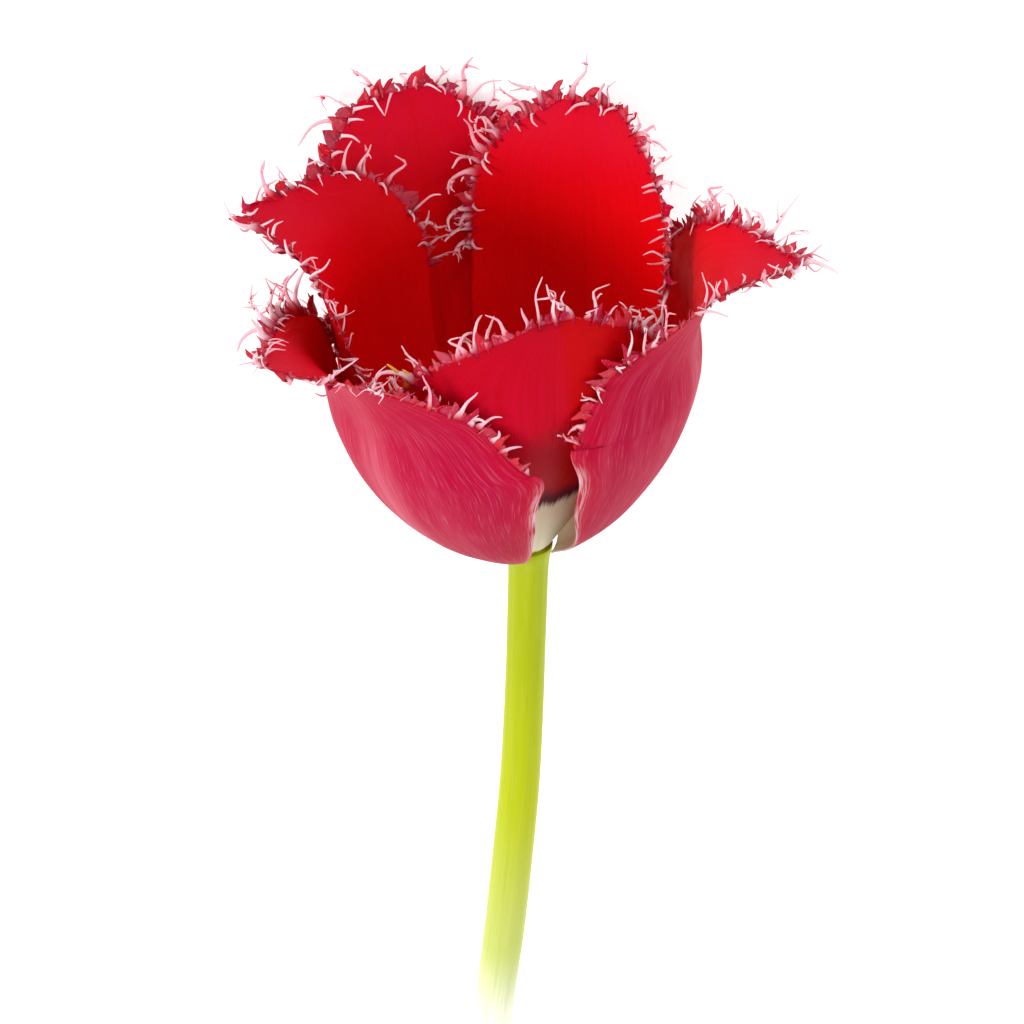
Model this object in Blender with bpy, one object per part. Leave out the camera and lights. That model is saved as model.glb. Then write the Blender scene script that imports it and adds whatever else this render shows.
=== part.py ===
"""A cut fringed tulip with an open red bloom, lying on a surface.

Shapes are worked out in millimetres in the bloom's own frame: +Z runs up the bloom, -Y is its
front and +X its right. place() then lays it down: head towards +Y, stem towards -Y, surface at Z=0.
"""

import math
import random

import bpy
import numpy as np
from mathutils import Vector
from mathutils.bvhtree import BVHTree

MM = 0.001

# How the bloom lies
LEAN = 4.0
ROLL = -5.0
PITCH = 15.0
BLOOM_AT = (3.2, 9.0, 21.1)

# Petals: rib holds the midrib as (radius, height) from base to tip, width the half widths to the
# left and right of it, cup how far each half is rolled round the bloom, in degrees
PETALS = {
    "petal_outer_left": {
        "azimuth": -50,
        "rib": [(5.1, -0.3), (11, 3.0), (19.3, 9.6), (26.3, 18.5), (30.3, 28.5), (31.3, 38.5), (36.5, 48), (50, 57)],
        "width": [(4.0, 4.4), (12.5, 11.8), (21, 20.4), (26, 26.3), (30, 28.5), (32, 19.5), (19, 8), (1, 1)],
        "cup": [(25, 25), (32, 40), (45, 58), (50, 62), (54, 60), (50, 55), (20, 20), (0, 0)],
        "wave": (0.5, 3, 0.0),
        "fringe_from": (0.50, 0.60),
        "seed": 5,
    },
    "petal_outer_right": {
        "azimuth": 75,
        "rib": [(5.1, -0.3), (10.6, 3.0), (18.6, 10.6), (26.2, 22), (30.2, 33), (30.5, 43), (35.5, 53), (47.5, 58)],
        "width": [(2.6, 4.0), (6.8, 12.5), (17.8, 22), (27, 27), (31.5, 31), (23, 31), (9, 16.5), (1, 1)],
        "cup": [(25, 25), (36, 32), (54, 45), (60, 46), (60, 40), (58, 34), (20, 20), (0, 0)],
        "wave": (0.5, 3, 0.5),
        "fringe_from": (0.62, 0.50),
        "seed": 7,
    },
    "petal_outer_back": {
        "azimuth": -157,
        "rib": [(5.1, -0.3), (12, 3), (22, 9.5), (28, 19), (31, 31), (32.5, 44), (34.5, 58), (38, 70)],
        "width": [(4.0, 4.0), (12.5, 12.5), (21, 21), (25.5, 25.5), (25, 25), (22, 23), (15.5, 20), (5, 9)],
        "cup": [(25, 25), (32, 32), (42, 42), (45, 45), (42, 42), (35, 35), (20, 20), (0, 0)],
        "wave": (0.5, 3, 0.5),
        "fringe_from": (0.60, 0.50),
        "seed": 1,
    },
    "petal_inner_front": {
        "azimuth": 17,
        "rib": [(3.9, 0.8), (7.8, 8), (13, 17), (20, 27), (25, 37), (26.5, 45), (26, 52), (24.5, 56.5)],
        "width": [(3.3, 4.8), (8, 9.0), (14, 14.5), (20, 19), (24, 22), (26, 20), (20, 13), (4, 3)],
        "cup": [(48, 70), (45, 55), (45, 47), (45, 45), (45, 45), (45, 45), (30, 30), (0, 0)],
        "wave": (0.4, 3, 0.5),
        "fringe_from": (0.56, 0.62),
        "seed": 6,
    },
    "petal_inner_right": {
        "azimuth": 152,
        "rib": [(3.9, 0.8), (9, 6), (17, 14), (24, 25), (28, 37), (29, 50), (29.5, 60), (31, 69)],
        "width": [(3.3, 3.3), (8.5, 7.4), (15, 13.5), (19, 18.5), (19.5, 20), (18.5, 19.5), (14, 16), (6, 5)],
        "cup": [(48, 48), (45, 45), (45, 45), (45, 45), (45, 45), (35, 35), (20, 20), (0, 0)],
        "wave": (0.4, 3, 0.5),
        "fringe_from": (0.50, 0.62),
        "seed": 2,
    },
    "petal_inner_left": {
        "azimuth": -103,
        "rib": [(3.9, 0.8), (9, 6), (17, 14), (24, 24), (28, 36), (29, 48), (33, 57), (43, 63)],
        "width": [(3.3, 3.3), (7.4, 8.5), (13.5, 15), (19, 20.5), (22.5, 23), (23.5, 20.5), (18.5, 10), (1, 1)],
        "cup": [(48, 48), (50, 50), (52, 52), (54, 52), (52, 50), (48, 36), (32, 20), (0, 0)],
        "wave": (0.4, 3, 0.5),
        "fringe_from": (0.64, 0.38),
        "seed": 3,
    },
}
PETAL_THICK = 0.75
PETAL_ROWS = 16
PETAL_COLUMNS = 10

# Fringe
FRINGE_STEP = (1.1, 3.0)
FRINGE_LONG = (4.0, 10.5)
FRINGE_SHORT = (1.6, 3.2)
FRINGE_ROOT = 0.42
FRINGE_SUNK = 0.8
CLEARANCE = 0.35

# Stem: points along its middle behind the bloom, as (x, y, z, radius), laid out on the surface
STEM_PATH = [
    (3.7, -11.2, 15.8, 3.4),
    (3.7, -23.2, 13.0, 3.45),
    (3.4, -39.2, 9.6, 3.55),
    (2.5, -54.2, 6.9, 3.6),
    (1.3, -69.7, 4.7, 3.6),
    (-0.1, -82.7, 3.45, 3.5),
    (-1.2, -92.2, 3.4, 3.45),
]
STEM_SIDES = 20
RECEPTACLE_RADIUS = 4.4
RECEPTACLE_DEEP = 4.0

# Pistil and stamens
PISTIL_FROM = 0.35
PISTIL_RINGS = [(0.0, 1.4, 0.0), (2.0, 1.6, 0.04), (8.0, 2.7, 0.08), (15.0, 2.7, 0.10), (19.0, 2.1, 0.10),
                (21.0, 2.1, 0.15), (23.0, 3.4, 0.28), (24.6, 4.0, 0.34), (25.4, 3.4, 0.34), (25.2, 1.6, 0.15)]
STAMEN_AZIMUTHS = (-78, -18, 42, 102, 162, -138)
STAMEN_ROOT_RADIUS = 2.6
FILAMENT_LENGTH = 15.0
FILAMENT_THICK = (0.6, 0.42)
FILAMENT_LEAN = (8.0, 20.0)
ANTHER_LENGTH = 13.0
ANTHER_RADIUS = 1.35
JOIN_GAP = 0.3

COLOURS = {
    "petal_inside": ((0.62, 0.004, 0.014, 1.0), 0.42),
    "petal_outside": ((0.60, 0.022, 0.072, 1.0), 0.45),
    "stem": ((0.46, 0.55, 0.05, 1.0), 0.5),
    "pistil": ((0.55, 0.60, 0.25, 1.0), 0.5),
    "filament": ((0.72, 0.55, 0.12, 1.0), 0.5),
    "anther": ((0.035, 0.008, 0.03, 1.0), 0.8),
}


def clear_scene():
    for obj in list(bpy.data.objects):
        bpy.data.objects.remove(obj, do_unlink=True)


def material(name):
    colour, roughness = COLOURS[name]
    made = bpy.data.materials.new(name)
    made.use_nodes = True
    shader = made.node_tree.nodes["Principled BSDF"]
    shader.inputs["Base Color"].default_value = colour
    shader.inputs["Roughness"].default_value = roughness
    shader.inputs["Metallic"].default_value = 0.0
    made.diffuse_color = colour
    return made


def turn(axis, degrees):
    c = math.cos(math.radians(degrees))
    s = math.sin(math.radians(degrees))
    if axis == "X":
        return np.array([[1, 0, 0], [0, c, -s], [0, s, c]])
    if axis == "Y":
        return np.array([[c, 0, s], [0, 1, 0], [-s, 0, c]])
    return np.array([[c, -s, 0], [s, c, 0], [0, 0, 1]])


LAY = turn("Z", LEAN) @ turn("Y", ROLL) @ turn("X", PITCH - 90.0)


def place(points):
    """From the bloom's frame to where it lies, both in millimetres."""
    return np.asarray(points, float) @ LAY.T + np.array(BLOOM_AT)


def smooth(points, u):
    """A smooth curve through evenly spaced points, read at u from 0 to 1."""
    p = np.asarray(points, float)
    p = np.vstack([2 * p[0] - p[1], p, 2 * p[-1] - p[-2]])
    spans = len(p) - 3
    x = np.clip(np.asarray(u, float), 0, 1) * spans
    i = np.minimum(x.astype(int), spans - 1)
    f = (x - i)[..., None]
    a, b, c, d = p[i], p[i + 1], p[i + 2], p[i + 3]
    curve = 2 * b + (c - a) * f + (2 * a - 5 * b + 4 * c - d) * f**2 + (3 * b - a - 3 * c + d) * f**3
    return 0.5 * curve


def unit(v):
    return v / np.linalg.norm(v, axis=-1, keepdims=True)


def petal_surface(petal, s, t):
    """Points of the petal's middle surface: s runs from base to tip, t from left to right margin."""
    azimuth = math.radians(petal["azimuth"])
    out = np.array([math.sin(azimuth), -math.cos(azimuth), 0.0])
    side = np.array([math.cos(azimuth), math.sin(azimuth), 0.0])
    up = np.array([0.0, 0.0, 1.0])

    def rib(at):
        m = smooth(petal["rib"], at)
        return m[..., 0:1] * out + m[..., 1:2] * up

    middle = rib(s)
    along = unit(rib(np.minimum(s + 0.001, 1)) - rib(np.maximum(s - 0.001, 0)))
    outward = np.cross(np.broadcast_to(side, along.shape), along)
    width = smooth(petal["width"], s)
    width = np.where(t < 0, width[..., 0], width[..., 1])
    cup = smooth(petal["cup"], s)
    cup = np.radians(np.maximum(np.where(t < 0, cup[..., 0], cup[..., 1]), 0.1))
    reach = np.abs(t)
    across = np.sign(t) * width * np.sin(cup * reach) / cup
    inward = width * (1 - np.cos(cup * reach)) / cup
    height, count, phase = petal["wave"]
    swing = np.sin(2 * np.pi * count * s + phase * np.sign(t) + (t > 0) * 1.3)
    wave = height * swing * reach**3 * np.sqrt(np.sin(np.pi * np.clip(s, 0, 1)).clip(0))
    return middle + side * across[..., None] + outward * (wave - inward)[..., None]


def grid_normals(points):
    down = np.gradient(points, axis=0)
    over = np.gradient(points, axis=1)
    return unit(np.cross(over, down))


def mesh_object(name, points, faces, surface=None):
    mesh = bpy.data.meshes.new(name)
    mesh.from_pydata([tuple(p) for p in np.asarray(points) * MM], [], [tuple(f) for f in faces])
    mesh.validate()
    mesh.update()
    made = bpy.data.objects.new(name, mesh)
    bpy.context.scene.collection.objects.link(made)
    if surface:
        mesh.materials.append(surface)
    return made


def blade(petal):
    """The petal without its fringe: points and triangles of a closed sheet, laid in place."""
    s = np.linspace(0, 1, PETAL_ROWS + 1)
    t = np.linspace(-1, 1, PETAL_COLUMNS + 1)
    middle = petal_surface(petal, *np.meshgrid(s, t, indexing="ij"))
    normal = grid_normals(middle)
    outer = place(middle + normal * PETAL_THICK / 2)
    inner = place(middle - normal * PETAL_THICK / 2)
    # The petal that carries the bloom is pressed flat where it meets the surface
    outer[..., 2] = np.maximum(outer[..., 2], 0)
    inner[..., 2] = np.maximum(inner[..., 2], PETAL_THICK)
    outer[..., 2] = np.maximum(outer[..., 2], 0)
    points = np.concatenate([outer.reshape(-1, 3), inner.reshape(-1, 3)])
    columns = PETAL_COLUMNS + 1
    shift = (PETAL_ROWS + 1) * columns
    faces = []
    for i in range(PETAL_ROWS):
        for j in range(PETAL_COLUMNS):
            a = i * columns + j
            b, c, d = a + 1, a + columns + 1, a + columns
            # The diagonals lean away from the midrib, alike on both faces
            if j < PETAL_COLUMNS // 2:
                pair = [(a, b, c), (a, c, d)]
            else:
                pair = [(a, b, d), (b, c, d)]
            for f in pair:
                faces.append(f)
                faces.append(tuple(k + shift for k in reversed(f)))
    edge = [i * columns for i in range(PETAL_ROWS + 1)]
    edge += [PETAL_ROWS * columns + j for j in range(1, columns)]
    edge += [i * columns + columns - 1 for i in range(PETAL_ROWS - 1, -1, -1)]
    edge += [j for j in range(columns - 2, 0, -1)]
    for a, b in zip(edge, edge[1:] + edge[:1]):
        faces.append((a, b, b + shift))
        faces.append((a, b + shift, a + shift))
    return points, faces


def margin(petal):
    """Points round the petal's free edge, with the way out of the sheet, its outer face and the run."""
    left, right = petal["fringe_from"]
    s = np.concatenate([np.linspace(left, 1, 120), np.ones(39), np.linspace(1, right, 120)])
    t = np.concatenate([-np.ones(120), np.linspace(-1, 1, 41)[1:-1], np.ones(120)])
    edge = petal_surface(petal, s, t)
    inside = petal_surface(petal, np.clip(s - 0.03 * (s > 0.97), 0, 1), t * 0.94)
    run = unit(np.gradient(edge, axis=0))
    away = edge - inside
    away = unit(away - (away * run).sum(-1, keepdims=True) * run)
    # One side of the sheet throughout: left margin, tip and right margin are run through in turn
    face = unit(np.cross(run, away))
    return place(edge), away @ LAY.T, face @ LAY.T, run @ LAY.T, s


def strand(points, radius):
    """A three-sided strand along a few points, tapering to its tip, as points and triangles."""
    line = np.asarray(points, float)
    rings = len(line) - 1
    made = []
    across = np.array([0.3, 0.5, 0.8])
    for k in range(rings):
        way = unit(line[k + 1] - line[max(k - 1, 0)])
        across = unit(across - (across @ way) * way)
        other = np.cross(way, across)
        thick = radius * (1 - 0.6 * k / rings)
        for corner in range(3):
            angle = 2 * math.pi * corner / 3
            made.append(line[k] + thick * (math.cos(angle) * across + math.sin(angle) * other))
    made.append(line[-1])
    faces = [(2, 1, 0)]
    for k in range(rings - 1):
        for corner in range(3):
            a = 3 * k + corner
            b = 3 * k + (corner + 1) % 3
            faces.append((a, b, b + 3))
            faces.append((a, b + 3, a + 3))
    last = 3 * (rings - 1)
    for corner in range(3):
        faces.append((last + corner, last + (corner + 1) % 3, 3 * rings))
    return np.array(made), faces


def fringe(name, own, others, taken):
    """Strands along one petal's edge that stay clear of the other petals, their strands and the surface."""
    petal = PETALS[name]
    draw = random.Random(petal["seed"])
    edge, away, face, run, s = margin(petal)
    along = np.concatenate([[0], np.cumsum(np.linalg.norm(np.diff(edge, axis=0), axis=1))])
    made = []
    mine = []
    at = 0.8
    while at < along[-1] - 0.8:
        i = int(np.searchsorted(along, at))
        tip = (s[i] - 0.4) / 0.6
        long_one = draw.random() < 0.58
        low, high = FRINGE_LONG if long_one else FRINGE_SHORT
        size = low + (high - low) * draw.random() * (0.45 + 0.55 * tip)
        for attempt in range(9):
            heading = unit(away[i] + face[i] * draw.gauss(-0.45, 0.75) + run[i] * draw.gauss(0.0, 0.65))
            curl = face[i] * draw.gauss(-0.2, 0.45) + run[i] * draw.gauss(0, 0.6) - away[i] * draw.uniform(0, 0.7)
            neck = edge[i] + 0.28 * size * unit(away[i] + 0.5 * heading)
            line = [edge[i] - FRINGE_SUNK * away[i], neck]
            if long_one:
                line.append(neck + 0.36 * size * heading)
                line.append(line[-1] + 0.36 * size * unit(heading + curl))
            else:
                line.append(neck + 0.72 * size * heading)
            line = np.array(line)
            if clear(line, own, others, taken, mine):
                made.append(strand(line, FRINGE_ROOT))
                mine.append(line)
                break
            size *= 0.9
        at += draw.uniform(*FRINGE_STEP)
    return made, mine


def samples_of(line, skip=0):
    """Evenly spread points on a line of a few points, from its point number skip on."""
    line = line[skip:]
    return np.concatenate([line[:-1] + (line[1:] - line[:-1]) * f for f in np.linspace(0, 1, 7)])


def near(tree, points, reach):
    for p in points:
        if tree.find_nearest(Vector(p), reach)[0] is not None:
            return True
    return False


def inside(tree, point):
    spot, normal, _, _ = tree.find_nearest(Vector(point))
    return (Vector(point) - spot).dot(normal) < -0.05


def clear(line, own, others, taken, mine):
    """Whether a strand keeps its distance from every petal, from the other strands and from the surface."""
    whole = samples_of(line)
    outer = samples_of(line, 1)
    if not inside(own, line[0]):
        return False
    if whole[:, 2].min() < FRINGE_ROOT + CLEARANCE:
        return False
    if any(near(tree, whole, FRINGE_ROOT + CLEARANCE) for tree in others):
        return False
    if near(own, outer[outer.shape[0] // 4:], FRINGE_ROOT + 0.1):
        return False
    for rest, gap in ((taken, CLEARANCE), (mine, 0.12)):
        if rest:
            points = np.concatenate([samples_of(other) for other in rest])
            if np.linalg.norm(whole[:, None] - points[None], axis=2).min() < 2 * FRINGE_ROOT + gap:
                return False
    return True


def join_all(body, pieces):
    """Fuses the pieces into the body with one Boolean union, and removes them."""
    held = bpy.data.collections.new(body.name + "_pieces")
    bpy.context.scene.collection.children.link(held)
    for number, (points, faces) in enumerate(pieces):
        piece = mesh_object(body.name + "_piece_" + str(number), points, faces)
        bpy.context.scene.collection.objects.unlink(piece)
        held.objects.link(piece)
    union = body.modifiers.new("fringe", "BOOLEAN")
    union.operation = "UNION"
    union.operand_type = "COLLECTION"
    union.collection = held
    union.solver = "MANIFOLD"
    bpy.context.view_layer.update()
    graph = bpy.context.evaluated_depsgraph_get()
    fused = bpy.data.meshes.new_from_object(body.evaluated_get(graph))
    body.modifiers.clear()
    old = body.data
    body.data = fused
    bpy.data.meshes.remove(old)
    for piece in list(held.objects):
        bpy.data.objects.remove(piece, do_unlink=True)
    bpy.data.collections.remove(held)


def make_petals():
    inside = material("petal_inside")
    outside = material("petal_outside")
    blades = {name: blade(petal) for name, petal in PETALS.items()}
    trees = {name: BVHTree.FromPolygons([Vector(p) for p in points], faces)
             for name, (points, faces) in blades.items()}
    taken = []
    for name, (points, faces) in blades.items():
        others = [tree for key, tree in trees.items() if key != name]
        strands, lines = fringe(name, trees[name], others, taken)
        taken = taken + lines
        made = mesh_object(name, points, faces, outside if "outer" in name else inside)
        join_all(made, strands)


def ring_body(name, rings, surface):
    """A closed body through rings that all have the same number of points."""
    sides = len(rings[0])
    points = np.concatenate(rings)
    faces = []
    for k in range(len(rings) - 1):
        for i in range(sides):
            a = k * sides + i
            b = k * sides + (i + 1) % sides
            faces.append((a, b, b + sides, a + sides))
    faces.append(tuple(range(sides - 1, -1, -1)))
    faces.append(tuple(range((len(rings) - 1) * sides, len(rings) * sides)))
    return mesh_object(name, points, faces, surface)


def round_rings(path, radii, sides, turned=0.5):
    """Rings square to a path of points."""
    path = np.asarray(path, float)
    way = unit(np.gradient(path, axis=0))
    rings = []
    across = np.array([1.0, 0.0, 0.0])
    for middle, forward, radius in zip(path, way, radii):
        across = unit(across - (across @ forward) * forward)
        other = np.cross(forward, across)
        angles = 2 * np.pi * (np.arange(sides) + turned) / sides
        rings.append(middle + radius * (np.cos(angles)[:, None] * across + np.sin(angles)[:, None] * other))
    return rings


def make_stem():
    axis = LAY @ np.array([0.0, 0.0, 1.0])
    start = np.array(BLOOM_AT)
    top = [
        (*start, RECEPTACLE_RADIUS),
        (*(start - axis * 1.0), 0.97 * RECEPTACLE_RADIUS),
        (*(start - axis * 2.4), 0.88 * RECEPTACLE_RADIUS),
        (*(start - axis * RECEPTACLE_DEEP), 0.80 * RECEPTACLE_RADIUS),
    ]
    lower = smooth([(*(start - axis * RECEPTACLE_DEEP), 3.45)] + STEM_PATH, np.linspace(0, 1, 13))
    rows = np.array(top + [tuple(row) for row in lower[1:]])
    rings = round_rings(rows[:, :3], rows[:, 3], STEM_SIDES)
    rings = [np.column_stack([ring[:, :2], np.maximum(ring[:, 2], 0)]) for ring in rings]
    ring_body("stem", rings, material("stem"))


def make_pistil():
    sides = 18
    angles = 2 * np.pi * np.arange(sides) / sides
    rings = []
    for height, radius, lobes in PISTIL_RINGS:
        spread = radius * (1 + lobes * np.cos(3 * angles))
        ring = [spread * np.cos(angles), spread * np.sin(angles), np.full(sides, height + PISTIL_FROM)]
        rings.append(place(np.stack(ring, axis=1)))
    ring_body("pistil", rings, material("pistil"))


def make_stamens():
    filament = material("filament")
    anther = material("anther")
    draw = random.Random(11)
    for number, azimuth in enumerate(STAMEN_AZIMUTHS, 1):
        a = math.radians(azimuth)
        out = np.array([math.sin(a), -math.cos(a), 0.0])
        up = np.array([0.0, 0.0, 1.0])
        long = FILAMENT_LENGTH * draw.uniform(0.92, 1.08)
        path = [STAMEN_ROOT_RADIUS * out + up * JOIN_GAP * 1.2]
        for k in range(6):
            tilt = math.radians(FILAMENT_LEAN[0] + (FILAMENT_LEAN[1] - FILAMENT_LEAN[0]) * k / 5)
            path.append(path[-1] + (out * math.sin(tilt) + up * math.cos(tilt)) * long / 6)
        radii = np.linspace(*FILAMENT_THICK, len(path))
        ring_body("filament_" + str(number), round_rings(place(path), radii, 6), filament)
        tilt = math.radians(FILAMENT_LEAN[1])
        forward = out * math.sin(tilt) + up * math.cos(tilt)
        foot = path[-1] + forward * JOIN_GAP
        steps = (0.0, 0.10, 0.28, 0.55, 0.80, 0.94, 1.0)
        sizes = (0.50, 0.86, 1.0, 0.96, 0.80, 0.55, 0.25)
        spine = [foot + forward * ANTHER_LENGTH * k for k in steps]
        rings = round_rings(place(spine), ANTHER_RADIUS * np.array(sizes), 6)
        ring_body("anther_" + str(number), rings, anther)


clear_scene()
make_stem()
make_petals()
make_pistil()
make_stamens()
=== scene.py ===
"""The look of the cut fringed tulip: fine petals, fringe, stem, pistil and stamens.

Shapes are worked out in millimetres in the bloom's own frame: +Z runs up the bloom, -Y is its
front and +X its right. place() then lays it down as part.py does: head towards +Y, surface at Z=0.
"""

import math
import random

import bpy
import numpy as np
from mathutils import Matrix, Vector
from mathutils.bvhtree import BVHTree


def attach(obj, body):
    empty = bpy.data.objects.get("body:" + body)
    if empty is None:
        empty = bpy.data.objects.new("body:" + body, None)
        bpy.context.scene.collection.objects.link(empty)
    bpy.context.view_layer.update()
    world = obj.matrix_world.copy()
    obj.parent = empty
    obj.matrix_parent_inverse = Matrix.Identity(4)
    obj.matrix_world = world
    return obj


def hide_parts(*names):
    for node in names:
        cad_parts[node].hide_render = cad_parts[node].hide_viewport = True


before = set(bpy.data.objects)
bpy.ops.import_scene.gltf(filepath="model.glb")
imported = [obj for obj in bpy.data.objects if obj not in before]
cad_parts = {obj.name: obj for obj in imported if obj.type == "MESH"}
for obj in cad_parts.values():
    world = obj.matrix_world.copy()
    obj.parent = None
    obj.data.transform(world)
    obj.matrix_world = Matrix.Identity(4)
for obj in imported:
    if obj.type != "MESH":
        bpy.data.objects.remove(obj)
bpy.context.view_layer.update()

MM = 0.001

# How the bloom lies, in degrees and millimetres
LEAN = 4.0
ROLL = -5.0
PITCH = 15.0
BLOOM_AT = (3.2, 9.0, 21.1)

# Petals: rib holds the midrib as (radius, height) from base to tip, width the half widths to the
# left and right of it, cup how far each half is rolled round the bloom in degrees, wave the height,
# count and phase of its ripple, fringe_from where the fringe starts on each margin, and claw how
# far the right half of the fine petal's foot runs on sideways
PETALS = {
    "petal_outer_left": {
        "azimuth": -50,
        "rib": [(5.1, -0.3), (11, 3.0), (19.3, 9.6), (26.3, 18.5),
                (30.3, 28.5), (31.3, 38.5), (36.5, 48), (50, 57)],
        "width": [(4.0, 4.4), (12.5, 11.8), (21, 20.4), (26, 26.3),
                  (30, 28.5), (32, 19.5), (19, 8), (1, 1)],
        "cup": [(25, 25), (32, 40), (45, 58), (50, 62), (54, 60), (50, 55), (20, 20), (0, 0)],
        "wave": (0.5, 3, 0.0),
        "fringe_from": (0.50, 0.60),
        "seed": 5,
    },
    "petal_outer_right": {
        "azimuth": 75,
        "rib": [(5.1, -0.3), (10.6, 3.0), (18.6, 10.6), (26.2, 22),
                (30.2, 33), (30.5, 43), (35.5, 53), (47.5, 58)],
        "width": [(2.6, 4.0), (6.8, 12.5), (17.8, 22), (27, 27),
                  (31.5, 31), (23, 31), (9, 16.5), (1, 1)],
        "cup": [(25, 25), (36, 32), (54, 45), (60, 46), (60, 40), (58, 34), (20, 20), (0, 0)],
        "wave": (0.5, 3, 0.5),
        "fringe_from": (0.62, 0.50),
        "seed": 7,
    },
    "petal_outer_back": {
        "azimuth": -157,
        "rib": [(5.1, -0.3), (12, 3), (22, 9.5), (28, 19),
                (31, 31), (32.5, 44), (34.5, 58), (38, 70)],
        "width": [(4.0, 4.0), (12.5, 12.5), (21, 21), (25.5, 25.5),
                  (25, 25), (22, 23), (15.5, 20), (5, 9)],
        "cup": [(25, 25), (32, 32), (42, 42), (45, 45), (42, 42), (35, 35), (20, 20), (0, 0)],
        "wave": (0.5, 3, 0.5),
        "fringe_from": (0.60, 0.50),
        "seed": 1,
    },
    "petal_inner_front": {
        "azimuth": 17,
        "rib": [(3.9, 0.8), (7.8, 8), (13, 17), (20, 27),
                (25, 37), (26.5, 45), (26, 52), (24.5, 56.5)],
        "width": [(3.3, 4.8), (8, 9.0), (14, 14.5), (20, 19), (24, 22), (26, 20), (20, 13), (4, 3)],
        "cup": [(48, 70), (45, 55), (45, 47), (45, 45), (45, 45), (45, 45), (30, 30), (0, 0)],
        "wave": (0.4, 3, 0.5),
        "fringe_from": (0.56, 0.62),
        "claw": 2.3,
        "seed": 6,
    },
    "petal_inner_right": {
        "azimuth": 152,
        "rib": [(3.9, 0.8), (9, 6), (17, 14), (24, 25), (28, 37), (29, 50), (29.5, 60), (31, 69)],
        "width": [(3.3, 3.3), (8.5, 7.4), (15, 13.5), (19, 18.5),
                  (19.5, 20), (18.5, 19.5), (14, 16), (6, 5)],
        "cup": [(48, 48), (45, 45), (45, 45), (45, 45), (45, 45), (35, 35), (20, 20), (0, 0)],
        "wave": (0.4, 3, 0.5),
        "fringe_from": (0.50, 0.62),
        "seed": 2,
    },
    "petal_inner_left": {
        "azimuth": -103,
        "rib": [(3.9, 0.8), (9, 6), (17, 14), (24, 24), (28, 36), (29, 48), (33, 57), (43, 63)],
        "width": [(3.3, 3.3), (7.4, 8.5), (13.5, 15), (19, 20.5),
                  (22.5, 23), (23.5, 20.5), (18.5, 10), (1, 1)],
        "cup": [(48, 48), (50, 50), (52, 52), (54, 52), (52, 50), (48, 36), (32, 20), (0, 0)],
        "wave": (0.4, 3, 0.5),
        "fringe_from": (0.64, 0.38),
        "seed": 3,
    },
}
PETAL_THICK = 0.75
PETAL_ROWS = 16
PETAL_COLUMNS = 10

# Fringe of the solids: the step along the edge, the length of long and short strands, the radius
# and depth of a root, the share of long ones, and how often a strand is drawn again and how much
# shorter, until it stays clear
FRINGE_STEP = (1.1, 3.0)
FRINGE_LONG = (4.0, 10.5)
FRINGE_SHORT = (1.6, 3.2)
FRINGE_ROOT = 0.42
FRINGE_SUNK = 0.8
LONG_SHARE = 0.58
TRIES = 9
SHRINK = 0.9
FRINGE_ENDS = 0.8
CLEARANCE = 0.35
MARGIN_STEPS = 120
TIP_STEPS = 40

# Stem: points along its middle behind the bloom, as (x, y, z, radius), laid out on the surface
STEM_PATH = [
    (3.7, -11.2, 15.8, 3.4),
    (3.7, -23.2, 13.0, 3.45),
    (3.4, -39.2, 9.6, 3.55),
    (2.5, -54.2, 6.9, 3.6),
    (1.3, -69.7, 4.7, 3.6),
    (-0.1, -82.7, 3.45, 3.5),
    (-1.2, -92.2, 3.4, 3.45),
]
RECEPTACLE_RADIUS = 4.4
RECEPTACLE_DEEP = 4.0

# Pistil, as rings of (height, radius, depth of the lobes), and stamens
PISTIL_FROM = 0.35
PISTIL_RINGS = [(0.0, 1.4, 0.0), (2.0, 1.6, 0.04), (8.0, 2.7, 0.08), (15.0, 2.7, 0.10),
                (19.0, 2.1, 0.10), (21.0, 2.1, 0.15), (23.0, 3.4, 0.28), (24.6, 4.0, 0.34),
                (25.4, 3.4, 0.34), (25.2, 1.6, 0.15)]
STAMEN_AZIMUTHS = (-78, -18, 42, 102, 162, -138)
STAMEN_ROOT_RADIUS = 2.6
FILAMENT_LENGTH = 15.0
FILAMENT_THICK = (0.6, 0.42)
FILAMENT_LEAN = (8.0, 20.0)
ANTHER_LENGTH = 13.0
ANTHER_RADIUS = 1.35
JOIN_GAP = 0.3

# Fine petals: rows and columns of the sheet, its thickness at the middle and at the edge, its veins
FINE_ROWS = 150
FINE_COLUMNS = 100
FINE_THICK = (0.62, 0.34)
VEINS = 46
VEIN_DEEP = 0.018
MIDRIB_DEEP = 0.12
MIDRIB_WIDE = 0.045
CLAW_MIDDLE = 0.08
CLAW_SPREAD = 0.10

# Fine strands and lobes: half widths at the root, lengths and steps along the edge, how far they
# are sunk in it, the share of strands that lie back, and how pale they turn, where 0 stays crimson
STRAND_SIDES = 6
STRAND_RINGS = 10
STRAND_LOWEST = 0.3
STRAND_FLAT = 0.62
STRAND_SWAY = 0.045
STRAND_SEED = 40
LONG_ROOT = 0.50
BRANCH_ROOT = 0.28
BRANCH_LONG = (1.2, 3.2)
FINE_ROOT = (0.30, 0.46)
FINE_LONG = (2.5, 6.5)
SHORT_ROOT = (0.5, 0.9)
LOBE_ROOT = (0.5, 0.32)
LOBE_LONG = (0.8, 3.4)
LOBE_STEP = (0.7, 1.6)
LOBE_THICK = 0.14
LOBE_TILT = 0.35
LOBE_CURL = 0.4
LOBE_SUNK = 0.7
FINE_STEP = (0.8, 4.2)
FINE_TILT = 0.8
FINE_SUNK = 0.4
FINE_ENDS = 0.2
FINE_CLEAR = 0.5
FINE_SEED = 100
END_ZONE = 3.0
END_SHARE = 0.6
BACK_SHARE = 0.5
PALE_LONG = (0.8, 1.0)
PALE_FINE = (0.75, 1.0)
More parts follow.
